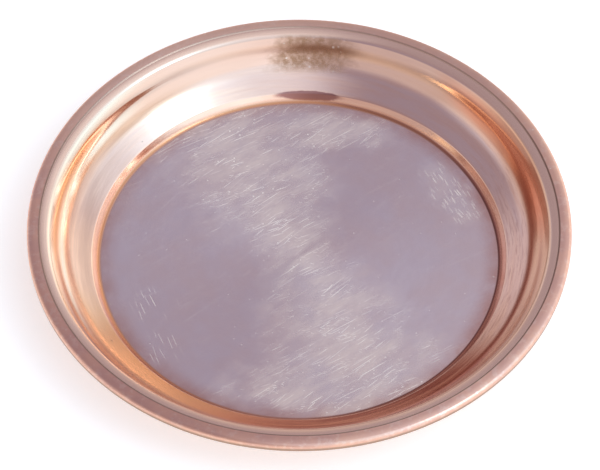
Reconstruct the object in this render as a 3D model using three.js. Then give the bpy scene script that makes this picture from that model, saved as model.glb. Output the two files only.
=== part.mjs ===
// Puja thali: a shallow round copper dish that holds lamps and offerings. One disc of sheet copper is
// spun into a flat floor, a short step, a flaring two-slope wall and a shoulder. Its edge is then rolled
// outwards and under, over a loop of stiffening wire.
//
// Units are millimetres, +Z is up, and the origin is the middle of the floor's underside.

import * as THREE from "three";

// Overall sizes
const OUTER_DIAMETER = 203; // over the rolled rim
const HEIGHT = 21; // floor's underside to the top of the rim
const SHEET = 0.7; // thickness of the copper

// Stiffening wire in the rim
const WIRE_DIAMETER = 2.64;
const WIRE_CLEARANCE = 0.3; // all round, between the wire and the copper rolled over it
const WIRE_BUTT_GAP = 0.8; // between the two ends of the bent wire

// The sheet's middle line from the rim inwards: each run is radial, and each rise, fall or depth is vertical.
const BAND_RUN = 2.08; // level part of the band, from over the wire in to the groove
const BAND_FALL = 0.35; // from over the wire out to the edge
const GROOVE_RUN = 0.24; // outer flank of the groove beside the band
const GROOVE_DEPTH = 0.4;
const LEDGE_RUN = 1.26; // outer part of the shoulder, which is nearly level
const LEDGE_FALL = 0.11;
const SHOULDER_RUN = 2; // inner part of the shoulder, which leans in towards the wall
const SHOULDER_FALL = 0.54;
const UPPER_WALL_RUN = 7.44;
const LOWER_WALL_RUN = 8.16;
const LOWER_WALL_RISE = 4.9;
const STEP_RUN = 2; // short steep step round the floor
const STEP_RISE = 3.19;
const LIP_RISE = 0.5; // straight lip at the raw edge, where the roll ends

// Inside radius of each bend
const FLOOR_BEND = 2;
const STEP_BEND = 0.5;
const WALL_BEND = 9;
const SHOULDER_BEND = 2.3;
const LEDGE_BEND = 9;
const GROOVE_BEND = 0.05;
const BAND_BEND = 8;
const EDGE_BEND = 0.8; // outer edge of the band, where it turns down

// Facets
const TURN_FACETS = 60; // round the dish's axis
const WIRE_SIDES = 10;
const BEND_STEP = THREE.MathUtils.degToRad(20); // largest turn between two points of a bend

// Sizes that follow from those above
const curlRadius = WIRE_DIAMETER / 2 + WIRE_CLEARANCE + SHEET / 2; // of the sheet's middle line
const wireRingRadius = OUTER_DIAMETER / 2 - SHEET / 2 - curlRadius;
const wireHeight = HEIGHT - BAND_FALL - SHEET / 2 - curlRadius;

const copper = new THREE.MeshStandardMaterial({ color: 0xc58d78, roughness: 0.22, metalness: 1 });
const steel = new THREE.MeshStandardMaterial({ color: 0x8f9092, roughness: 0.45, metalness: 1 });

// Corners of the sheet's middle line, from the floor out to the edge of the rim, before its bends are
// rounded. Each corner holds the inside radius of its bend.
function sheetCorners() {
  const corner = (x, y, bend) => ({ at: new THREE.Vector2(x, y), bend });
  const inwards = ({ at }, run, fall, bend) => corner(at.x - run, at.y - fall, bend);
  const stepTop = SHEET / 2 + STEP_RISE;
  const edge = corner(wireRingRadius + curlRadius, HEIGHT - BAND_FALL - SHEET / 2, EDGE_BEND);
  const crown = corner(wireRingRadius, HEIGHT - SHEET / 2, BAND_BEND);
  const band = inwards(crown, BAND_RUN, 0, GROOVE_BEND);
  const groove = inwards(band, GROOVE_RUN, GROOVE_DEPTH, GROOVE_BEND);
  const ledge = inwards(groove, LEDGE_RUN, LEDGE_FALL, LEDGE_BEND);
  const shoulder = inwards(ledge, SHOULDER_RUN, SHOULDER_FALL, SHOULDER_BEND);
  const wall = corner(shoulder.at.x - UPPER_WALL_RUN, stepTop + LOWER_WALL_RISE, WALL_BEND);
  const step = corner(wall.at.x - LOWER_WALL_RUN, stepTop, STEP_BEND);
  const floor = inwards(step, STEP_RUN, STEP_RISE, FLOOR_BEND);
  return [floor, step, wall, shoulder, ledge, groove, band, crown, edge];
}

// Adds to a path a straight run up to the corner, then the arc that rounds it off towards the next point.
function addBend(path, from, corner, to) {
  const arriving = corner.at.clone().sub(from).normalize();
  const leaving = to.clone().sub(corner.at).normalize();
  const turn = arriving.cross(leaving) < 0 ? -1 : 1;
  const angle = Math.acos(THREE.MathUtils.clamp(arriving.dot(leaving), -1, 1));
  const radius = corner.bend + SHEET / 2;
  const start = corner.at.clone().addScaledVector(arriving, -radius * Math.tan(angle / 2));
  const towardsCentre = new THREE.Vector2(-arriving.y, arriving.x).multiplyScalar(turn);
  const centre = start.clone().addScaledVector(towardsCentre, radius);
  const startAngle = start.clone().sub(centre).angle();
  path.lineTo(start.x, start.y);
  path.absarc(centre.x, centre.y, radius, startAngle, startAngle + turn * angle, turn < 0);
}

// The sheet's middle line in the plane of radius and height: along the floor, up the wall, over the
// shoulder and band, down the outside, and half a turn under the wire to the raw edge.
function sheetMiddleLine() {
  const corners = sheetCorners();
  const axisPoint = new THREE.Vector2(0, SHEET / 2);
  const outside = new THREE.Vector2(wireRingRadius + curlRadius, wireHeight);
  const path = new THREE.Path().moveTo(axisPoint.x, axisPoint.y);
  corners.forEach((corner, i) => {
    const from = i > 0 ? corners[i - 1].at : axisPoint;
    const to = i < corners.length - 1 ? corners[i + 1].at : outside;
    addBend(path, from, corner, to);
  });
  path.lineTo(outside.x, outside.y);
  path.absarc(wireRingRadius, wireHeight, curlRadius, 0, -Math.PI, true);
  path.lineTo(wireRingRadius - curlRadius, wireHeight + LIP_RISE);
  return path;
}

// Points on the middle line, each with its tangent: the ends of every straight run, and steps round each bend.
function stations(path) {
  const found = [];
  path.curves.forEach((curve, i) => {
    const isBend = curve.isEllipseCurve;
    const steps = isBend ? Math.ceil(Math.abs(curve.aEndAngle - curve.aStartAngle) / BEND_STEP) : 1;
    for (let k = i > 0 ? 1 : 0; k <= steps; k++) {
      found.push({ at: curve.getPoint(k / steps), along: curve.getTangent(k / steps) });
    }
  });
  return found;
}

// Closed outline of the sheet: its upper face out to the raw edge, then its under face back to the axis.
function sheetOutline() {
  const line = stations(sheetMiddleLine());
  const offset = (side) => ({ at, along }) =>
    new THREE.Vector2(Math.max(0, at.x - side * along.y), at.y + side * along.x);
  const upper = line.map(offset(SHEET / 2));
  const under = line.map(offset(-SHEET / 2));
  return [...under, ...upper.reverse()];
}

// The spun copper dish, floor to rolled rim, as one sheet of even thickness.
function makeDish() {
  const geometry = new THREE.LatheGeometry(sheetOutline(), TURN_FACETS).rotateX(Math.PI / 2);
  const dish = new THREE.Mesh(geometry, copper);
  dish.name = "copper_dish";
  return dish;
}

// An arc of a circle in the XY plane that stops short of a full turn by the gap, centred on +Y.
class OpenRing extends THREE.Curve {
  constructor(radius, gap) {
    super();
    this.radius = radius;
    this.gapAngle = gap / radius;
  }

  getPoint(t, target = new THREE.Vector3()) {
    const angle = Math.PI / 2 + this.gapAngle / 2 + t * (2 * Math.PI - this.gapAngle);
    return target.set(this.radius * Math.cos(angle), this.radius * Math.sin(angle), 0);
  }
}

// The wire, bent into a ring whose two ends butt together inside the rolled edge.
function makeRimWire() {
  const section = new THREE.Shape().absarc(0, 0, WIRE_DIAMETER / 2, 0, 2 * Math.PI);
  const geometry = new THREE.ExtrudeGeometry(section, {
    extrudePath: new OpenRing(wireRingRadius, WIRE_BUTT_GAP),
    steps: TURN_FACETS,
    curveSegments: WIRE_SIDES / 2,
  });
  const wire = new THREE.Mesh(geometry, steel);
  wire.name = "rim_wire";
  wire.position.z = wireHeight;
  return wire;
}

const thali = new THREE.Group();
thali.add(makeDish(), makeRimWire());

export default thali;
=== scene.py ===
import math

import bpy
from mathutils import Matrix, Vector


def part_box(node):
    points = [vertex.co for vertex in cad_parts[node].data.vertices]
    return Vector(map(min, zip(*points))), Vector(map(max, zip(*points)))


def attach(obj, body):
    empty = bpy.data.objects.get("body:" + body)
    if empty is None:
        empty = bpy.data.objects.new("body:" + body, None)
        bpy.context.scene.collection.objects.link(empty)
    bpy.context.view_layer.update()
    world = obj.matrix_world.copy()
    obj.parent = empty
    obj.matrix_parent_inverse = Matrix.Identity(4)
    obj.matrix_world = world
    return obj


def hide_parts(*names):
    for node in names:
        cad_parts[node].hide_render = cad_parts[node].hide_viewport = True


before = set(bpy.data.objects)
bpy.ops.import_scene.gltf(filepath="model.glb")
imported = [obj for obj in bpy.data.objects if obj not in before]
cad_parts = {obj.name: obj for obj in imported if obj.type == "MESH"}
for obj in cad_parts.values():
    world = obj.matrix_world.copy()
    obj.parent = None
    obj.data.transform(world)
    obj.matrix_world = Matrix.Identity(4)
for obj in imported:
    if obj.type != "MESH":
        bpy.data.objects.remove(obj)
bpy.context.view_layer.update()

# The spun dish: one disc of sheet copper, pressed over a former on a lathe into a flat floor, a short step,
# a wall of two slopes and a shoulder. Its edge is rolled outwards and under over a wire, with a fine groove
# left where the roll was set down. Sizes are in metres, along the sheet's middle line.

dish_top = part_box("copper_dish")[1]
wire_low, wire_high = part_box("rim_wire")
wire_radius = (wire_high.z - wire_low.z) / 2
wire_z = (wire_high.z + wire_low.z) / 2
wire_clearance = 0.0003
sheet = 0.0007

band_run = 0.00208
groove_run = 0.00024
groove_depth = 0.0004
ledge_run = 0.00126
ledge_fall = 0.00011
shoulder_run = 0.002
shoulder_fall = 0.00054
upper_wall_run = 0.00744
lower_wall_run = 0.00816
lower_wall_rise = 0.0049
step_run = 0.002
step_rise = 0.00319
lip_rise = 0.0005

roll_radius = wire_radius + wire_clearance + sheet / 2
wire_ring = dish_top.x - sheet / 2 - roll_radius
roll_out = wire_ring + roll_radius
roll_in = wire_ring - roll_radius
roll_under = wire_z - roll_radius
roll_top = wire_z + roll_radius
band_r = wire_ring - band_run
band_z = dish_top.z - sheet / 2
groove_r = band_r - groove_run
groove_z = band_z - groove_depth
ledge_r = groove_r - ledge_run
ledge_z = groove_z - ledge_fall
shoulder_r = ledge_r - shoulder_run
shoulder_z = ledge_z - shoulder_fall
wall_r = shoulder_r - upper_wall_run
step_r = wall_r - lower_wall_run
step_z = sheet / 2 + step_rise
wall_z = step_z + lower_wall_rise
floor_r = step_r - step_run

# The upper wall is steepest in a ring a little above its middle, and eases off above and below it.
ring_place = 0.0037
ring_run = 0.0016
ring_rise = 0.00301
wall_slope = (shoulder_z - wall_z - ring_rise) / (upper_wall_run - ring_run)
ring_r = wall_r + ring_place
ring_z = wall_z + ring_place * wall_slope
ring_middle = ring_r + ring_run / 2

# Each corner of the profile: radius, height and the inside radius of its bend. A bend of None is a plain end.
floor_bend = 0.002
step_bend = 0.0005
wall_bend = 0.013
ring_bend = 0.018
shoulder_bend = 0.0023
ledge_bend = 0.009
groove_bend = 0.00005
band_bend = 0.008
edge_bend = 0.0008
roll_bend = roll_radius - sheet / 2
profile = [
    (0.0, sheet / 2, None),
    (floor_r, sheet / 2, floor_bend),
    (step_r, step_z, step_bend),
    (wall_r, wall_z, wall_bend),
    (ring_r, ring_z, ring_bend),
    (ring_r + ring_run, ring_z + ring_rise, ring_bend),
    (shoulder_r, shoulder_z, shoulder_bend),
    (ledge_r, ledge_z, ledge_bend),
    (groove_r, groove_z, groove_bend),
    (band_r, band_z, groove_bend),
    (wire_ring, band_z, band_bend),
    (roll_out, roll_top, edge_bend),
    (roll_out, roll_under, roll_bend),
    (roll_in, roll_under, roll_bend),
    (roll_in, wire_z + lip_rise, None),
]


def profile_object(name, corners):
    """A chain of edges through the corners, in a plane whose X is radius and Y is height, with each bend's
    radius on the sheet's middle line."""
    mesh = bpy.data.meshes.new(name)
    points = [(radius, height, 0) for radius, height, _ in corners]
    mesh.from_pydata(points, [(i, i + 1) for i in range(len(points) - 1)], [])
    bends = mesh.attributes.new("bend", "FLOAT", "POINT")
    bends.data.foreach_set("value", [0 if bend is None else bend + sheet / 2 for *_, bend in corners])
    piece = bpy.data.objects.new(name, mesh)
    bpy.context.scene.collection.objects.link(piece)
    return piece


def add_node(tree, kind, inputs={}, **settings):
    """Adds a node to a tree, with its settings. An input is given a value, or an output to link to it."""
    node = tree.nodes.new(kind)
    for name, value in settings.items():
        setattr(node, name, value)
    for name, value in inputs.items():
        if isinstance(value, bpy.types.NodeSocket):
            tree.links.new(value, node.inputs[name])
        else:
            node.inputs[name].default_value = value
    return node


def tree_of(values):
    """The node tree of the first output among some values."""
    return next(value.id_data for value in values if isinstance(value, bpy.types.NodeSocket))


def math_node(operation, *values):
    """The result of a Math node on values, each a number or an output."""
    node = add_node(tree_of(values), "ShaderNodeMath", dict(enumerate(values)), operation=operation)
    return node.outputs[0]


def vector_node(operation, *values):
    """A Vector Math node on values, each a vector or an output."""
    return add_node(tree_of(values), "ShaderNodeVectorMath", dict(enumerate(values)), operation=operation)


def vector(operation, *values):
    """The vector that a Vector Math node makes of its values."""
    return vector_node(operation, *values).outputs["Vector"]


def measure(operation, *values):
    """The number that a Vector Math node measures on its values, such as a length."""
    return vector_node(operation, *values).outputs["Value"]


def scaled(arrow, factor):
    """A vector that is made longer or shorter by a factor."""
    tree = tree_of((arrow, factor))
    node = add_node(tree, "ShaderNodeVectorMath", {0: arrow, "Scale": factor}, operation="SCALE")
    return node.outputs["Vector"]


def turned_round(arrow, angle):
    """A vector that is turned about the Z axis by an angle."""
    turn = {"Vector": arrow, "Angle": angle}
    return add_node(arrow.id_data, "ShaderNodeVectorRotate", turn, rotation_type="Z_AXIS").outputs[0]


def both(first, *others):
    """The product of several shares."""
    for other in others:
        first = math_node("MULTIPLY", first, other)
    return first


def spinning_tree():
    """Rounds the corners of a profile by its bends, spins it once round the Z axis as a single closed skin,
    and leaves that a little uneven, as metal is that was formed by hand."""
    weld_distance = 1e-6
    closer_up_the_wall = (1, 1, 4)
    tree = bpy.data.node_groups.new("Spin sheet", "GeometryNodeTree")
    sockets = tree.interface
    sockets.new_socket("Profile", in_out="INPUT", socket_type="NodeSocketGeometry")
    sockets.new_socket("Bend Steps", in_out="INPUT", socket_type="NodeSocketInt")
    sockets.new_socket("Turn Steps", in_out="INPUT", socket_type="NodeSocketInt")
    sockets.new_socket("Spindle Radius", in_out="INPUT", socket_type="NodeSocketFloat")
    sockets.new_socket("Wave Length", in_out="INPUT", socket_type="NodeSocketFloat")
    sockets.new_socket("Wave Depth", in_out="INPUT", socket_type="NodeSocketFloat")
    sockets.new_socket("Metal", in_out="INPUT", socket_type="NodeSocketMaterial")
    sockets.new_socket("Skin", in_out="OUTPUT", socket_type="NodeSocketGeometry")
    given = tree.nodes.new("NodeGroupInput").outputs
    bend = add_node(tree, "GeometryNodeInputNamedAttribute", {"Name": "bend"}, data_type="FLOAT")
    chain = add_node(tree, "GeometryNodeMeshToCurve", {"Mesh": given["Profile"]})
    rounded = add_node(
        tree,
        "GeometryNodeFilletCurve",
        {"Curve": chain.outputs["Curve"], "Count": given["Bend Steps"], "Radius": bend.outputs["Attribute"]},
        mode="POLY",
    )
    to_axis = math_node("MULTIPLY", given["Spindle Radius"], -1.0)
    shift = add_node(tree, "ShaderNodeCombineXYZ", {"X": to_axis})
    placed = add_node(
        tree,
        "GeometryNodeTransform",
        {"Geometry": rounded.outputs["Curve"], "Translation": shift.outputs[0], "Scale": (1, -1, 1)},
    )
    spindle = add_node(
        tree,
        "GeometryNodeCurvePrimitiveCircle",
        {"Resolution": given["Turn Steps"], "Radius": given["Spindle Radius"]},
    )
    spin = add_node(
        tree,
        "GeometryNodeCurveToMesh",
        {"Curve": spindle.outputs["Curve"], "Profile Curve": placed.outputs["Geometry"]},
    )
    closed = add_node(
        tree, "GeometryNodeMergeByDistance", {"Geometry": spin.outputs["Mesh"], "Distance": weld_distance}
    )
    position = add_node(tree, "GeometryNodeInputPosition").outputs[0]
    waves = add_node(
        tree,
        "ShaderNodeTexNoise",
        {
            "Vector": vector("MULTIPLY", position, closer_up_the_wall),
            "Scale": math_node("DIVIDE", 1.0, given["Wave Length"]),
            "Detail": 1.0,
        },
    )
    swell = both(math_node("SUBTRACT", waves.outputs[0], 0.5), given["Wave Depth"])
    normal = add_node(tree, "GeometryNodeInputNormal").outputs[0]
    uneven = add_node(
        tree,
        "GeometryNodeSetPosition",
        {"Geometry": closed.outputs["Geometry"], "Offset": scaled(normal, swell)},
    )
    smooth = add_node(tree, "GeometryNodeSetShadeSmooth", {"Geometry": uneven.outputs["Geometry"]})
    real = add_node(tree, "GeometryNodeRealizeInstances", {"Geometry": smooth.outputs["Geometry"]})
    metal = add_node(
        tree, "GeometryNodeSetMaterial", {"Geometry": real.outputs["Geometry"], "Material": given["Metal"]}
    )
    add_node(tree, "NodeGroupOutput", {"Skin": metal.outputs["Geometry"]})
    return tree


def set_inputs(modifier, **values):
    """Sets a Geometry Nodes modifier's inputs, each by the identifier of the socket that has its name."""
    sockets = {item.name: item.identifier for item in modifier.node_group.interface.items_tree}
    for name, value in values.items():
        modifier[sockets[name.replace("_", " ").title()]] = value


def make_plain(piece):
    """Swaps a piece's mesh for what its modifiers make of it, and removes them."""
    bpy.context.view_layer.update()
    evaluated = piece.evaluated_get(bpy.context.evaluated_depsgraph_get())
    base = piece.data
    piece.data = bpy.data.meshes.new_from_object(evaluated)
    piece.modifiers.clear()
    bpy.data.meshes.remove(base)


def fade(value, start, end):
    """A share that is 0 where the value is at the start and 1 where it is at the end, eased between them."""
    limits = {"Value": value, "From Min": start, "From Max": end}
    eased = add_node(value.id_data, "ShaderNodeMapRange", limits, interpolation_type="SMOOTHSTEP")
    return eased.outputs["Result"]


def apart(value, middle):
    """How far a value is from a middle, to either side."""
    return math_node("ABSOLUTE", math_node("SUBTRACT", value, middle))


def near(value, middle, half_width):
    """A share that is 1 where the value is in the middle and gone at the half width to either side."""
    return fade(apart(value, middle), half_width, 0.0)


def plus(base, share, amount):
    """A base with an amount added to it, as much as there is of a share."""
    return math_node("MULTIPLY_ADD", share, amount, base)


def most(first, *others):
    """The largest of several shares."""
    for other in others:
        first = math_node("MAXIMUM", first, other)
    return first


def blend(share, under, over):
    """One colour laid over another by a share. Each colour is an output, or its red, green and blue."""
    first, second = (c if isinstance(c, bpy.types.NodeSocket) else (*c, 1) for c in (under, over))
    mix = add_node(share.id_data, "ShaderNodeMix", {0: share, 6: first, 7: second}, data_type="RGBA")
    return mix.outputs[2]


def tinted(under, cover, strength, tint):
    """A colour with a tint laid over it where there is cover, at a strength from 0 to 1."""
    return blend(both(cover, strength), under, tint)


def effect(name, inputs, output):
    """An empty shader node group with named inputs, each a number or a vector, and one output. Returns its
    tree and the sockets inside it that give the inputs."""
    tree = bpy.data.node_groups.new(name, "ShaderNodeTree")
    for socket_name, value in inputs.items():
        kind = "NodeSocketVector" if isinstance(value, tuple) else "NodeSocketFloat"
        tree.interface.new_socket(socket_name, in_out="INPUT", socket_type=kind).default_value = value
    tree.interface.new_socket(output, in_out="OUTPUT", socket_type="NodeSocketFloat")
    return tree, tree.nodes.new("NodeGroupInput").outputs


def use(group, place, **sizes):
    """The output of an effect at a place on a material, with its sizes."""
    inputs = {"Place": place}
    inputs.update({name.title(): value for name, value in sizes.items()})
    return add_node(place.id_data, "ShaderNodeGroup", inputs, node_tree=group).outputs[0]


def cloud_effect():
    """Soft uneven cover, such as tarnish or haze, in patches of about a given size."""
    tree, given = effect("Clouds", {"Place": (0, 0, 0), "Size": 0.02, "Clear": 0.45, "Full": 0.65}, "Cover")
    noise = add_node(
        tree,
        "ShaderNodeTexNoise",
        {
            "Vector": given["Place"],
            "Scale": math_node("DIVIDE", 1.0, given["Size"]),
            "Detail": 4.0,
            "Roughness": 0.6,
        },
    )
    add_node(tree, "NodeGroupOutput", {"Cover": fade(noise.outputs[0], given["Clear"], given["Full"])})
    return tree


def speck_effect():
    """Separate round marks, such as pits, of mixed sizes. The share is how many of the places have one."""
    smallest = 0.2
    tree, given = effect("Specks", {"Place": (0, 0, 0), "Gap": 0.004, "Size": 0.0004, "Share": 0.5}, "Mark")
    cells = add_node(
        tree,
        "ShaderNodeTexVoronoi",
        {"Vector": given["Place"], "Scale": math_node("DIVIDE", 1.0, given["Gap"])},
    )
    chance = add_node(tree, "ShaderNodeSeparateColor", {"Color": cells.outputs["Color"]}).outputs
    away = math_node("MULTIPLY", cells.outputs["Distance"], given["Gap"])
    size = math_node("MULTIPLY", given["Size"], plus(smallest, chance["Red"], 1 - smallest))
    dot = fade(math_node("DIVIDE", away, size), 1.0, 0.5)
    kept = math_node("LESS_THAN", chance["Green"], given["Share"])
    add_node(tree, "NodeGroupOutput", {"Mark": both(dot, kept)})
    return tree


def scratch_effect():
    """Separate straight hairline scratches in the XY plane. They lie near one direction, each leaning a
    little to one side of it, and the share is how many of the places have one."""
    faintest = 0.3
    line = {"Turn": 0.0, "Lean": 0.5, "Reach": 0.02, "Gap": 0.005, "Width": 0.0002, "Share": 0.5}
    tree, given = effect("Scratches", {"Place": (0, 0, 0), **line}, "Mark")
    turned = turned_round(given["Place"], given["Turn"])
    pitch_sizes = {"X": given["Reach"], "Y": given["Gap"], "Z": 1.0}
    pitch = add_node(tree, "ShaderNodeCombineXYZ", pitch_sizes).outputs[0]
    cells = vector("DIVIDE", turned, pitch)
    nearest = add_node(tree, "ShaderNodeTexVoronoi", {"Vector": cells, "Scale": 1.0}, voronoi_dimensions="2D")
    chance = add_node(tree, "ShaderNodeSeparateColor", {"Color": nearest.outputs["Color"]}).outputs
    offset = vector("MULTIPLY", vector("SUBTRACT", cells, nearest.outputs["Position"]), pitch)
    lean = math_node("MULTIPLY", math_node("SUBTRACT", chance["Red"], 0.5), given["Lean"])
    along = add_node(tree, "ShaderNodeSeparateXYZ", {"Vector": turned_round(offset, lean)}).outputs
    from_line = math_node("DIVIDE", math_node("ABSOLUTE", along["Y"]), given["Width"])
    from_middle = math_node("DIVIDE", math_node("ABSOLUTE", along["X"]), given["Reach"])
    kept = math_node("LESS_THAN", chance["Green"], given["Share"])
    depth = plus(faintest, chance["Blue"], 1 - faintest)
    mark = both(fade(from_line, 1.0, 0.0), fade(from_middle, 0.45, 0.2), kept, depth)
    add_node(tree, "NodeGroupOutput", {"Mark": mark})
    return tree


clouds = cloud_effect()
specks = speck_effect()
scratches = scratch_effect()

copper = bpy.data.materials.new("bright_copper")
copper.use_nodes = True
skin = copper.node_tree
copper_shader = skin.nodes["Principled BSDF"]
coordinates = add_node(skin, "ShaderNodeTexCoord").outputs
place = coordinates["Object"]
facing = add_node(skin, "ShaderNodeSeparateXYZ", {"Vector": coordinates["Normal"]}).outputs
axes = add_node(skin, "ShaderNodeSeparateXYZ", {"Vector": place}).outputs
level = add_node(skin, "ShaderNodeCombineXYZ", {"X": axes["X"], "Y": axes["Y"]}).outputs[0]
radius = measure("LENGTH", level)
outwards = vector("NORMALIZE", level)
reach = math_node("ADD", radius, axes["Z"])


def along_rings(turn_radius):
    """A place that runs round the dish on a small radius and up its wall, so that patterns in it are drawn
    out into streaks round the dish."""
    rise = add_node(skin, "ShaderNodeCombineXYZ", {"Z": reach}).outputs[0]
    return vector("ADD", scaled(outwards, turn_radius), rise)


def across(bearing):
    """How far a point lies from the dish's axis towards a bearing, in degrees: 0 is right, 90 the back."""
    turn = math.radians(bearing)
    return measure("DOT_PRODUCT", place, (math.cos(turn), math.sin(turn), 0))


def side(bearing, clear, full):
    """A share that comes up on the side a bearing points to, between two distances from the dish's axis."""
    return fade(across(bearing), clear, full)


def ring(middle, half_width):
    """A share that is full on a circle round the dish's axis and gone at the half width to either side."""
    return near(radius, middle, half_width)


def spot(x, y, clear, full):
    """A share that is full inside one distance of a point of the floor and gone past another."""
    return fade(measure("DISTANCE", level, (x, y, 0)), clear, full)


def oval(x, y, half_x, half_y):
    """How far a point lies from the middle of a level oval: 0 at its middle and 1 on its edge."""
    offset = vector("SUBTRACT", level, (x, y, 0))
    return measure("LENGTH", vector("DIVIDE", offset, (half_x, half_y, 1)))


# Places on the dish: its two faces, the floor, the lower wall, which is a plain cone, the upper wall, the
# shoulder, the rim's band outside the groove, and the ledge between those two.
inside = fade(facing["Z"], -0.05, 0.05)
outside = math_node("SUBTRACT", 1.0, inside)
floor_edge = floor_r - 0.0011
on_floor = both(inside, fade(radius, floor_edge + 0.0003, floor_edge - 0.0007))
on_cone = both(inside, fade(radius, step_r - 0.0002, step_r + 0.0004), fade(radius, wall_r + 0.002, wall_r))
on_wall = both(
    inside,
    fade(radius, wall_r - 0.0005, wall_r + 0.0015),
    fade(radius, shoulder_r + 0.0005, shoulder_r - 0.0005),
)
on_shoulder = fade(radius, shoulder_r - 0.0008, shoulder_r + 0.0008)
on_rim = fade(radius, groove_r, band_r)
on_ledge = both(inside, on_shoulder, math_node("SUBTRACT", 1.0, on_rim))
at_back = math_node("GREATER_THAN", axes["Y"], 0.0)

# Bright copper, in streaks round the dish where the forming tool passed, and a little deeper in soft patches.
fresh_copper = (0.96, 0.64, 0.48)
deeper_copper = (0.92, 0.585, 0.425)
streak_brown = (0.86, 0.53, 0.40)
band_pink = (0.84, 0.56, 0.46)
tone = use(clouds, place, size=0.03, clear=0.35, full=0.7)
streaks = use(clouds, along_rings(0.008), size=0.0016, clear=0.3, full=0.7)
bands = use(clouds, along_rings(0.012), size=0.005, clear=0.35, full=0.65)
colour = blend(tone, fresh_copper, deeper_copper)
colour = tinted(colour, streaks, 0.7, streak_brown)
colour = tinted(colour, both(bands, on_cone), 0.55, band_pink)

# The upper wall has a painted golden reflection of light bounced between the copper walls, with browner
# painted streaks. It is painted paler at the back and at the right of the front, and painted tan, a darker
# reflection, at the left of the back.
gold_reflection = (0.98, 0.63, 0.39)
streaked_reflection_brown = (0.80, 0.42, 0.24)
pale_reflection_pink = (0.90, 0.72, 0.64)
ring_reflection_brown = (0.80, 0.50, 0.33)
pale_gold_highlight = (1.0, 0.73, 0.50)
tan_reflection = (0.68, 0.38, 0.26)
gold_reflection_share = fade(axes["Y"], 0.09, 0.045)
colour = tinted(colour, on_wall, plus(0.05, gold_reflection_share, 0.8), gold_reflection)
colour = tinted(colour, both(on_wall, bands), plus(0.15, gold_reflection_share, 0.7), streaked_reflection_brown)
# Painted pale reflection at the back, with a painted brown reflected line along the steepest ring.
pale_back_reflection = both(on_wall, fade(axes["Y"], 0.04, 0.085))
colour = tinted(colour, pale_back_reflection, 0.5, pale_reflection_pink)
ring_reflection_line = both(pale_back_reflection, ring(ring_middle, 0.0011), fade(axes["X"], 0.04, 0.0))
colour = tinted(colour, ring_reflection_line, 0.6, ring_reflection_brown)
# Painted pale gold highlight at the right of the front.
pale_front_highlight = both(on_wall, side(-45, 0.05, 0.078))
colour = tinted(colour, pale_front_highlight, 0.65, pale_gold_highlight)
# Painted darker tan reflection at the left of the back.
tan_back_reflection = both(on_wall, side(120, 0.07, 0.088))
colour = tinted(colour, tan_back_reflection, 0.65, tan_reflection)

# Painted reflections drawn out in lines: gold at the right of the back, brown and painted pale gold gleams on
# the left.
reflected_line_gold = (1.0, 0.62, 0.36)
reflected_line_brown = (0.52, 0.25, 0.13)
reflected_outer_line_brown = (0.72, 0.34, 0.14)
gleam_gold = (1.0, 0.88, 0.68)
# Each of these lines is a painted reflection; the gleams are painted highlights.
gold_reflection_line = both(on_wall, ring(ring_r + 0.0003, 0.0016), side(53, 0.068, 0.086))
colour = tinted(colour, gold_reflection_line, 0.75, reflected_line_gold)
inner_reflection_line = both(inside, ring(wall_r + 0.0002, 0.002), side(157, 0.062, 0.082))
colour = tinted(colour, inner_reflection_line, plus(0.55, streaks, 0.3), reflected_line_brown)
outer_reflection_line = both(inside, ring(wall_r + 0.0047, 0.0013), side(170, 0.0813, 0.0903))
colour = tinted(colour, outer_reflection_line, 0.7, reflected_outer_line_brown)
wall_gleam = both(inside, ring(wall_r + 0.0026, 0.0017), side(173, 0.0642, 0.0842))
shoulder_gleam = both(inside, ring(shoulder_r - 0.0006, 0.0018), side(166, 0.07, 0.09))
gleam = most(wall_gleam, shoulder_gleam)
colour = tinted(colour, gleam, 0.75, gleam_gold)

# Painted orange reflection on the right of the upper wall, with a redder painted reflection in a wedge within
# it.
orange_reflection_colour = (1.0, 0.59, 0.36)
red_reflection_colour = (0.95, 0.34, 0.17)
right_orange_reflection = both(on_wall, side(6, 0.0703, 0.0864))
colour = tinted(colour, right_orange_reflection, 0.5, orange_reflection_colour)
# Painted red reflection, not a heat tint.
right_red_reflection = both(on_wall, ring(wall_r + 0.0035, 0.0045), side(25, 0.078, 0.087))
colour = tinted(colour, right_red_reflection, 0.85, red_reflection_colour)

# The lower wall, with painted reflections and shade: a dull pink reflection at the right of the back, a dark
# grain on the right, a duller reflection on the left with painted shade down at its foot, and golden to
# orange reflections at the left of the front.
dull_reflection_pink = (0.88, 0.68, 0.61)
grain_brown = (0.50, 0.27, 0.21)
left_reflection_brown = (0.66, 0.43, 0.33)
foot_shade_brown = (0.50, 0.32, 0.25)
cone_gold_reflection = (0.90, 0.56, 0.33)
foot_gold_reflection = (0.78, 0.42, 0.20)
cone_orange_reflection = (0.90, 0.45, 0.20)
# Painted dull pink reflection at the right of the back.
dull_cone_reflection = both(on_cone, side(49, 0.05, 0.078))
colour = tinted(colour, dull_cone_reflection, plus(0.25, bands, 0.4), dull_reflection_pink)
cone_grain = use(clouds, along_rings(0.012), size=0.0011, clear=0.48, full=0.68)
colour = tinted(colour, both(on_cone, cone_grain, side(-20, 0.04, 0.078)), 0.4, grain_brown)
# Painted duller reflection on the left, and painted shade at its foot.
left_cone_reflection = both(on_cone, side(194, 0.045, 0.075))
colour = tinted(colour, left_cone_reflection, plus(0.55, streaks, 0.35), left_reflection_brown)
left_foot_shade = both(on_cone, ring(step_r + 0.002, 0.005), side(192, 0.066, 0.08))
colour = tinted(colour, left_foot_shade, 0.7, foot_shade_brown)
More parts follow.
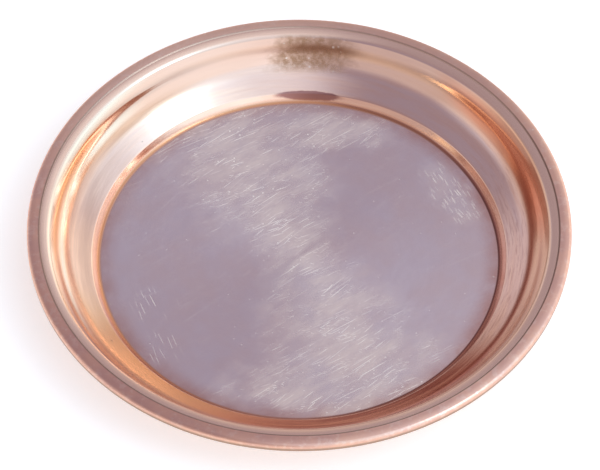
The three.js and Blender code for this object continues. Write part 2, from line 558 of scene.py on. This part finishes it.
# Painted golden reflection at the left of the front, darker at its foot, then a painted orange reflection.
golden_cone_reflection = both(on_cone, side(226, 0.066, 0.084))
colour = tinted(colour, golden_cone_reflection, 0.7, cone_gold_reflection)
golden_foot_reflection = both(golden_cone_reflection, ring(step_r + 0.0005, 0.0035))
colour = tinted(colour, golden_foot_reflection, 0.7, foot_gold_reflection)
orange_cone_reflection = both(on_cone, side(245, 0.055, 0.08))
colour = tinted(colour, orange_cone_reflection, 0.7, cone_orange_reflection)

# The outside is duller, with soft brown patches and scuffs from being slid and stacked.
dull_brown = (0.72, 0.41, 0.29)
scuff_pink = (1.0, 0.78, 0.64)
dull_cover = use(clouds, place, size=0.014, clear=0.4, full=0.65)
scuffs = use(scratches, place, turn=0.4, lean=6.0, reach=0.012, gap=0.0024, width=0.0002, share=0.5)
colour = tinted(colour, both(outside, dull_cover), 0.6, dull_brown)
colour = tinted(colour, both(outside, scuffs), 0.6, scuff_pink)

# The floor has a dull, lavender film, uneven in soft patches, partly tarnish and partly a painted reflection
# of the bluish light overhead. A painted reflection of the wall reddens it towards its edge, most of all on
# the right and at the front.
lavender_film_and_reflection = (0.87, 0.78, 0.80)
edge_red_reflection = (0.68, 0.33, 0.24)
# Partly tarnish, partly a painted reflection of the bluish light overhead.
film = use(clouds, place, size=0.028, clear=0.3, full=0.7)
colour = tinted(colour, on_floor, plus(0.6, film, 0.22), lavender_film_and_reflection)
# Painted reflection of the wall, reddening the floor towards its edge.
corner_side = side(-37, -0.05, 0.05)
edge_cover = use(clouds, place, size=0.012, clear=0.3, full=0.65)
edge_reflection_ring = both(on_floor, fade(radius, floor_edge - 0.008, floor_edge + 0.002))
colour = tinted(colour, edge_reflection_ring, plus(plus(0.25, edge_cover, 0.45), corner_side, 0.25), edge_red_reflection)

# A painted highlight: a pale cream sheen of scattered light on the floor, in a band across it that widens
# towards its ends, with painted pale patches at the front, at the back and on the right. It is streaked along
# the way of the rubbing.
rub_turn = math.radians(-36)
band_bearing = 112
sheen_cream = (1.0, 0.79, 0.65)
turned_place = turned_round(place, rub_turn)
rubbed_place = vector("MULTIPLY", turned_place, (0.4, 1, 1))
wiped_place = vector("MULTIPLY", turned_place, (0.22, 1, 1))
sheen_grain = use(clouds, rubbed_place, size=0.008, clear=0.36, full=0.62)
sheen_streaks = use(clouds, wiped_place, size=0.0035, clear=0.35, full=0.68)
wander = use(clouds, turned_place, size=0.02, clear=0.3, full=0.7)
band_half = plus(0.014, math_node("ABSOLUTE", across(band_bearing)), 0.3)
from_band = math_node("DIVIDE", math_node("ABSOLUTE", across(band_bearing - 90)), band_half)
along_band = fade(plus(from_band, wander, 0.6), 1.8, 0.35)
at_front = fade(plus(oval(0.006, -0.062, 0.036, 0.014), wander, 0.5), 1.4, 0.7)
at_floor_back = fade(plus(oval(0.0, 0.06, 0.042, 0.012), wander, 0.5), 1.4, 0.7)
sheen_band = most(along_band, at_front, both(at_floor_back, 0.9))
right_spots = most(
    spot(0.0525, 0.0395, 0.009, 0.002),
    spot(0.0575, 0.0305, 0.011, 0.003),
    spot(0.0625, 0.0215, 0.009, 0.002),
)
# Painted highlight: the sheen is laid over the floor in streaky clouds.
sheen_depth = plus(plus(0.32, sheen_grain, 0.5), sheen_streaks, 0.22)
painted_floor_sheen = both(on_floor, most(sheen_band, both(right_spots, 0.45)), sheen_depth)
colour = tinted(colour, painted_floor_sheen, 0.75, sheen_cream)

# Short scratches from cleaning, most of them one way, partly real and partly painted glints: they are painted
# pale, as where they catch the light. They are thick in the painted sheen, in a patch on the right and in two
# on the left, and thin elsewhere.
scratch_cream = (1.0, 0.84, 0.70)
tick_turn = math.radians(-8)
right_turn = math.radians(62)
left_turn = math.radians(70)
long_strokes = use(
    scratches, place, turn=rub_turn, lean=0.35, reach=0.018, gap=0.0019, width=0.0003, share=0.5
)
strokes = use(scratches, place, turn=rub_turn, lean=0.6, reach=0.0075, gap=0.0016, width=0.00036, share=0.42)
ticks = use(scratches, place, turn=tick_turn, lean=1.4, reach=0.0024, gap=0.0009, width=0.0003, share=0.38)
glints = use(specks, place, gap=0.0019, size=0.00055, share=0.35)
clustered = use(clouds, rubbed_place, size=0.011, clear=0.42, full=0.58)
gathered = use(clouds, rubbed_place, size=0.006, clear=0.42, full=0.66)
thick_marks = both(most(long_strokes, strokes, glints), clustered)
fine_marks = both(most(strokes, ticks), gathered, 0.95)
# Painted glints: the marks are thickest where the painted sheen is.
sheen_band_marks = both(most(thick_marks, fine_marks), plus(0.18, sheen_band, 0.82))
right_lines = use(
    scratches, place, turn=right_turn, lean=0.25, reach=0.005, gap=0.0013, width=0.0005, share=0.8
)
left_lines = use(
    scratches, place, turn=left_turn, lean=0.2, reach=0.0085, gap=0.0022, width=0.0003, share=0.6
)
left_spots = most(spot(-0.054, -0.023, 0.011, 0.005), spot(-0.05, -0.042, 0.011, 0.004))
hairlines = use(scratches, place, turn=rub_turn, lean=0.5, reach=0.028, gap=0.008, width=0.00016, share=0.4)
fine_specks = use(specks, place, gap=0.0026, size=0.0005, share=0.3)
loose_marks = most(
    both(right_spots, right_lines),
    both(left_spots, left_lines),
    both(hairlines, 0.4),
    both(fine_specks, 0.45),
)
scratch = both(on_floor, most(sheen_band_marks, loose_marks))
colour = tinted(colour, scratch, 0.9, scratch_cream)

# The rim is handled most: satin, browner, uneven in patches, and specked with wear, with a painted paler
# reflection towards the back. Underneath it is painted dark brown, a painted dark reflection.
ledge_pink = (1.0, 0.71, 0.53)
rim_brown = (0.82, 0.47, 0.36)
rim_copper = (0.91, 0.52, 0.37)
rim_back_reflection = (1.0, 0.67, 0.49)
worn_pink = (0.98, 0.70, 0.56)
speck_pink = (1.0, 0.86, 0.76)
underside_reflection_brown = (0.34, 0.22, 0.15)
rim_tone = use(clouds, place, size=0.008, clear=0.35, full=0.65)
worn = use(clouds, place, size=0.0022, clear=0.5, full=0.64)
rim_specks = use(specks, place, gap=0.0028, size=0.0006, share=0.3)
colour = tinted(colour, on_ledge, 0.55, ledge_pink)
colour = tinted(colour, on_rim, 0.9, blend(rim_tone, rim_brown, rim_copper))
# Painted paler reflection towards the back of the rim.
colour = tinted(colour, both(on_rim, fade(axes["Y"], 0.0, 0.09)), 0.6, rim_back_reflection)
colour = tinted(colour, both(on_rim, worn), 0.4, worn_pink)
colour = tinted(colour, both(on_rim, rim_specks), 0.7, speck_pink)
# Painted dark reflection on the underside of the roll.
dark_underside_reflection = both(on_rim, fade(axes["Z"], roll_top - 0.0008, wire_z))
colour = tinted(colour, dark_underside_reflection, 0.8, underside_reflection_brown)

# Darker brown at the back of the upper wall, mottled and flecked, darkest along the steepest ring.
back_dark_brown = (0.40, 0.20, 0.09)
back_darkest = (0.27, 0.11, 0.055)
fleck_pink = (0.96, 0.80, 0.68)
back_dark_cover = use(clouds, along_rings(0.06), size=0.008, clear=0.25, full=0.65)
back_dark_grain = use(clouds, place, size=0.0022, clear=0.3, full=0.6)
back_dark_specks = use(specks, place, gap=0.0022, size=0.0007, share=0.55)
back_dark_x = 0.004
back_dark_line_x = 0.009
ragged = plus(apart(axes["X"], back_dark_x), back_dark_cover, -0.008)
back_dark_area = both(
    inside,
    at_back,
    fade(ragged, 0.0135, 0.0015),
    fade(radius, wall_r - 0.0025, wall_r + 0.0015),
    fade(radius, shoulder_r + 0.0008, shoulder_r - 0.0015),
)
back_dark_line = both(
    inside,
    at_back,
    ring(ring_middle, 0.0017),
    fade(apart(axes["X"], back_dark_line_x), 0.019, 0.007),
)
back_darkening = both(back_dark_area, plus(0.45, back_dark_grain, 0.5))
colour = tinted(colour, back_darkening, 0.85, back_dark_brown)
colour = tinted(colour, back_dark_line, 0.75, back_darkest)
colour = tinted(colour, both(back_dark_area, back_dark_specks), 0.6, fleck_pink)

# Painted reflections: a redder one low on the wall at the front, a red line above it on the right, and a dark
# brown one on the step at the back.
front_reflection_red = (0.76, 0.30, 0.17)
front_reflection_dark = (0.42, 0.11, 0.065)
reflected_line_red = (0.46, 0.12, 0.06)
step_reflection_brown = (0.36, 0.16, 0.14)
# Painted red reflection low on the front wall, darker in streaks.
front_red_reflection = both(on_cone, side(-75, 0.056, 0.076))
front_reflection_streaks = use(clouds, along_rings(0.004), size=0.0022, clear=0.38, full=0.62)
colour = tinted(colour, front_red_reflection, 0.8, front_reflection_red)
colour = tinted(colour, both(front_red_reflection, front_reflection_streaks, fade(axes["X"], -0.03, 0.01)), 0.85, front_reflection_dark)
# Painted red reflected line on the right.
line_drift = plus(radius, axes["Y"], -0.045)
red_reflection_line = both(inside, near(line_drift, wall_r + 0.001, 0.0019), side(-20, 0.055, 0.08))
colour = tinted(colour, red_reflection_line, 0.8, reflected_line_red)
# Painted dark reflection on the step at the back.
patch_x = 0.0055
patch_r = step_r - 0.0006
patch_half_length = 0.0125
patch_half_width = 0.0011
patch_along = math_node("DIVIDE", math_node("SUBTRACT", axes["X"], patch_x), patch_half_length)
patch_across = math_node("DIVIDE", math_node("SUBTRACT", radius, patch_r), patch_half_width)
patch_offset = add_node(skin, "ShaderNodeCombineXYZ", {"X": patch_along, "Y": patch_across}).outputs[0]
patch_ragged = plus(measure("LENGTH", patch_offset), edge_cover, -0.4)
step_dark_reflection = both(inside, at_back, fade(patch_ragged, 0.95, 0.6))
colour = tinted(colour, step_dark_reflection, 0.95, step_reflection_brown)

# Brown tarnish in the corner round the floor, painted with reflection orange at the back left and redder at
# the front right; pits in the wall; painted shade in the groove, darkest at the front; and a painted shade
# line in the corner on the right.
corner_orange = (0.62, 0.24, 0.10)
corner_red = (0.38, 0.12, 0.08)
pit_and_shade_brown = (0.13, 0.055, 0.04)
corner_shade_dark = (0.20, 0.055, 0.04)
above_floor = fade(axes["Z"], sheet / 2, sheet)
# Tarnish in the corner, with a painted reflection colour that changes from side to side.
in_corner = both(ring(floor_r - 0.0004, 0.0013), above_floor)
colour = tinted(colour, in_corner, 0.9, blend(corner_side, corner_orange, corner_red))
pits = both(most(on_cone, on_wall), use(specks, place, gap=0.004, size=0.0005, share=0.15))
# Painted shade in the groove, with real pits in the walls.
in_groove = both(ring(groove_r + 0.00005, 0.0006), fade(axes["Z"], groove_z - 0.0005, groove_z))
pits_and_groove_shade = most(pits, both(in_groove, plus(0.6, fade(axes["Y"], 0.08, 0.02), 0.4)))
colour = tinted(colour, pits_and_groove_shade, 0.85, pit_and_shade_brown)
# Painted shade line in the corner on the right.
corner_shade_line = both(ring(floor_edge + 0.0002, 0.0006), above_floor, side(-20, 0.02, 0.06))
colour = tinted(colour, corner_shade_line, 0.85, corner_shade_dark)
skin.links.new(colour, copper_shader.inputs["Base Color"])

# Gloss: finest on the upper wall, satin on the rim, duller on the dark brown at the back, in the tarnished
# corner, on pits, in the groove and in scratches.
roughness = plus(0.06, streaks, 0.04)
roughness = plus(roughness, on_cone, 0.1)
roughness = plus(roughness, on_shoulder, 0.13)
roughness = plus(roughness, on_rim, 0.1)
roughness = plus(roughness, on_floor, 0.1)
roughness = plus(roughness, most(back_darkening, in_corner), 0.2)
roughness = plus(roughness, most(pits_and_groove_shade, scratch), 0.2)
skin.links.new(roughness, copper_shader.inputs["Roughness"])

# Bare metal shows less on pits and the painted groove shade, on the dark brown at the back, under the floor's
# film and its painted sheen, on the ledge, in the painted pale, gleaming, orange and gold reflections of the
# upper wall, and in scratches, which scatter the light.
bare = plus(1.0, pits_and_groove_shade, -0.25)
bare = plus(bare, on_ledge, -0.08)
bare = plus(bare, pale_front_highlight, -0.22)
bare = plus(bare, gleam, -0.35)
bare = plus(bare, right_orange_reflection, -0.16)
bare = plus(bare, gold_reflection_line, -0.1)
bare = plus(bare, on_floor, -0.07)
bare = plus(bare, painted_floor_sheen, -0.38)
bare = plus(bare, scratch, -0.5)
bare = plus(bare, back_darkening, -0.3)
skin.links.new(bare, copper_shader.inputs["Metallic"])

# Rings left by the turning tool, which spread the light across them.
ring_count_per_metre = 1500.0
ring_depth = 0.000005
copper_shader.inputs["Anisotropic"].default_value = 0.8
copper_shader.inputs["Anisotropic Rotation"].default_value = 0.25
turned_rings = add_node(
    skin,
    "ShaderNodeTexNoise",
    {"W": radius, "Scale": ring_count_per_metre, "Detail": 2.0},
    noise_dimensions="1D",
)
bump = add_node(
    skin, "ShaderNodeBump", {"Strength": 1.0, "Distance": ring_depth, "Height": turned_rings.outputs[0]}
)
skin.links.new(bump.outputs["Normal"], copper_shader.inputs["Normal"])

dish = profile_object("spun_dish", profile)
spun = dish.modifiers.new("spin", "NODES")
spun.node_group = spinning_tree()
set_inputs(
    spun,
    bend_steps=12,
    turn_steps=192,
    spindle_radius=0.05,
    wave_length=0.024,
    wave_depth=0.00014,
    metal=copper,
)
thickness = dish.modifiers.new("sheet", "SOLIDIFY")
thickness.thickness = sheet
thickness.offset = 0
thickness.use_even_offset = True
even = dish.modifiers.new("even_shading", "WEIGHTED_NORMAL")
even.weight = 100
make_plain(dish)
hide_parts("copper_dish")
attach(dish, "root")

# The stiffening wire: a length of drawn steel wire bent into a ring inside the rolled edge, its two ends
# butted together at the back.

butt_gap = 0.0008


def wire_tree():
    """Sweeps a round section along an open ring in a level plane, with its gap on the Y axis."""
    tree = bpy.data.node_groups.new("Bend wire", "GeometryNodeTree")
    sockets = tree.interface
    sockets.new_socket("Start", in_out="INPUT", socket_type="NodeSocketGeometry")
    sockets.new_socket("Ring Radius", in_out="INPUT", socket_type="NodeSocketFloat")
    sockets.new_socket("Ring Points", in_out="INPUT", socket_type="NodeSocketInt")
    sockets.new_socket("Gap Angle", in_out="INPUT", socket_type="NodeSocketFloat")
    sockets.new_socket("Wire Radius", in_out="INPUT", socket_type="NodeSocketFloat")
    sockets.new_socket("Wire Sides", in_out="INPUT", socket_type="NodeSocketInt")
    sockets.new_socket("Height", in_out="INPUT", socket_type="NodeSocketFloat")
    sockets.new_socket("Metal", in_out="INPUT", socket_type="NodeSocketMaterial")
    sockets.new_socket("Wire", in_out="OUTPUT", socket_type="NodeSocketGeometry")
    given = tree.nodes.new("NodeGroupInput").outputs
    bent_ring = add_node(
        tree,
        "GeometryNodeCurveArc",
        {
            "Resolution": given["Ring Points"],
            "Radius": given["Ring Radius"],
            "Start Angle": plus(math.pi / 2, given["Gap Angle"], 0.5),
            "Sweep Angle": math_node("SUBTRACT", 2 * math.pi, given["Gap Angle"]),
        },
    )
    section = add_node(
        tree,
        "GeometryNodeCurvePrimitiveCircle",
        {"Resolution": given["Wire Sides"], "Radius": given["Wire Radius"]},
    )
    swept = add_node(
        tree,
        "GeometryNodeCurveToMesh",
        {"Curve": bent_ring.outputs["Curve"], "Profile Curve": section.outputs["Curve"], "Fill Caps": True},
    )
    lift = add_node(tree, "ShaderNodeCombineXYZ", {"Z": given["Height"]})
    placed = add_node(
        tree, "GeometryNodeTransform", {"Geometry": swept.outputs["Mesh"], "Translation": lift.outputs[0]}
    )
    smooth = add_node(tree, "GeometryNodeSetShadeSmooth", {"Geometry": placed.outputs["Geometry"]})
    real = add_node(tree, "GeometryNodeRealizeInstances", {"Geometry": smooth.outputs["Geometry"]})
    metal = add_node(
        tree, "GeometryNodeSetMaterial", {"Geometry": real.outputs["Geometry"], "Material": given["Metal"]}
    )
    add_node(tree, "NodeGroupOutput", {"Wire": metal.outputs["Geometry"]})
    return tree


# Drawn steel, dulled by oxide in soft patches, with drag lines from the die and a few spots of rust.
steel_grey = (0.56, 0.56, 0.57)
oxide_grey = (0.36, 0.34, 0.33)
drag_grey = (0.68, 0.68, 0.69)
rust_brown = (0.22, 0.10, 0.05)
steel = bpy.data.materials.new("drawn_steel")
steel.use_nodes = True
drawn = steel.node_tree
steel_shader = drawn.nodes["Principled BSDF"]
steel_shader.inputs["Metallic"].default_value = 1
steel_place = add_node(drawn, "ShaderNodeTexCoord").outputs["Object"]
oxide = use(clouds, steel_place, size=0.006, clear=0.4, full=0.65)
drag = use(scratches, steel_place, turn=0.0, lean=6.0, reach=0.006, gap=0.001, width=0.00012, share=0.5)
rust = use(specks, steel_place, gap=0.0015, size=0.0005, share=0.25)
steel_colour = blend(oxide, steel_grey, oxide_grey)
steel_colour = blend(drag, steel_colour, drag_grey)
steel_colour = blend(rust, steel_colour, rust_brown)
drawn.links.new(steel_colour, steel_shader.inputs["Base Color"])
drawn.links.new(plus(plus(0.32, oxide, 0.2), rust, 0.3), steel_shader.inputs["Roughness"])

wire = bpy.data.objects.new("stiffening_wire", bpy.data.meshes.new("stiffening_wire"))
bpy.context.scene.collection.objects.link(wire)
bent = wire.modifiers.new("bend", "NODES")
bent.node_group = wire_tree()
set_inputs(
    bent,
    ring_radius=wire_ring,
    ring_points=193,
    gap_angle=butt_gap / wire_ring,
    wire_radius=wire_radius,
    wire_sides=24,
    height=wire_z,
    metal=steel,
)
make_plain(wire)
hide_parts("rim_wire")
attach(wire, "root")

# The stage: a plain pale table, and a studio with one small bright light high on the right, wider soft ones
# round it, behind the dish and on the left, a dim ceiling, a paler band of surroundings near the level of
# the table, and the camera.

table_half = 3.0
table_z = -0.0001
table_corners = [
    (-table_half, -table_half, table_z),
    (table_half, -table_half, table_z),
    (table_half, table_half, table_z),
    (-table_half, table_half, table_z),
]
table_mesh = bpy.data.meshes.new("table")
table_mesh.from_pydata(table_corners, [], [(0, 1, 2, 3)])
table = bpy.data.objects.new("table", table_mesh)
bpy.context.scene.collection.objects.link(table)
table_paint = bpy.data.materials.new("pale_table")
table_paint.use_nodes = True
table_shader = table_paint.node_tree.nodes["Principled BSDF"]
table_shader.inputs["Base Color"].default_value = (0.80, 0.75, 0.69, 1)
table_shader.inputs["Roughness"].default_value = 0.8
table_shader.inputs["Emission Color"].default_value = (1, 1, 1, 1)
table_shader.inputs["Emission Strength"].default_value = 0.5
table_mesh.materials.append(table_paint)

world = bpy.data.worlds.new("studio")
bpy.context.scene.world = world
world.use_nodes = True
sky = world.node_tree
background = sky.nodes["Background"]
look = add_node(sky, "ShaderNodeTexCoord").outputs["Generated"]
up = add_node(sky, "ShaderNodeSeparateXYZ", {"Vector": look}).outputs["Z"]


def above(start, end):
    """A share of the sky that comes up between two elevations, in degrees."""
    return fade(up, math.sin(math.radians(start)), math.sin(math.radians(end)))


def soft_light(light_so_far, azimuth, elevation, inner, outer, colour):
    """Adds to the light so far a round soft light, full inside one angle from its middle and gone past
    another. Azimuth 0 is behind the dish and 90 is to its right; angles are in degrees."""
    turn, rise = math.radians(azimuth), math.radians(elevation)
    middle = (math.sin(turn) * math.cos(rise), math.cos(turn) * math.cos(rise), math.sin(rise))
    closeness = measure("DOT_PRODUCT", look, middle)
    share = fade(closeness, math.cos(math.radians(outer)), math.cos(math.radians(inner)))
    return vector("ADD", light_so_far, scaled(colour, share))


ceiling = (0.36, 0.325, 0.42)
low_glow = (0.28, 0.25, 0.18)
right_wash = (0.46, 0.54, 0.60)
light = vector("ADD", ceiling, scaled(low_glow, both(above(38, 20), above(-2, 14))))
to_the_right = measure("DOT_PRODUCT", look, (1.0, -0.25, 0.5))
light = vector("ADD", light, scaled(right_wash, fade(to_the_right, 0.2, 0.6)))
light = soft_light(light, azimuth=113, elevation=50, inner=1, outer=13, colour=(2.6, 3.0, 3.3))
light = soft_light(light, azimuth=113, elevation=50, inner=4, outer=26, colour=(0.25, 0.45, 0.6))
light = soft_light(light, azimuth=120, elevation=32, inner=15, outer=62, colour=(0.18, 0.46, 0.66))
light = soft_light(light, azimuth=42, elevation=18, inner=3, outer=20, colour=(0.27, 0.33, 0.28))
light = soft_light(light, azimuth=-46, elevation=20, inner=4, outer=22, colour=(0.08, 0.14, 0.24))
light = soft_light(light, azimuth=-98, elevation=22, inner=4, outer=22, colour=(0.15, 0.2, 0.25))
sky.links.new(light, background.inputs["Color"])

# The camera looks down at the photograph's angle. The frame's middle lies a little below the rim's.
camera_elevation = math.radians(51.8)
camera_distance = 1.476
frame_drop = 0.00317
rim_middle = Vector((0.00027, 0, 0.01868))
towards_camera = Vector((0, -math.cos(camera_elevation), math.sin(camera_elevation)))
screen_up = Vector((0, math.sin(camera_elevation), math.cos(camera_elevation)))
camera_data = bpy.data.cameras.new("camera")
camera_data.lens = 237.6
camera_data.sensor_width = 36
camera = bpy.data.objects.new("camera", camera_data)
bpy.context.scene.collection.objects.link(camera)
camera.location = rim_middle - frame_drop * screen_up + camera_distance * towards_camera
camera.rotation_euler = (math.pi / 2 - camera_elevation, 0, 0)
bpy.context.scene.camera = camera
bpy.context.scene.view_settings.view_transform = "Standard"
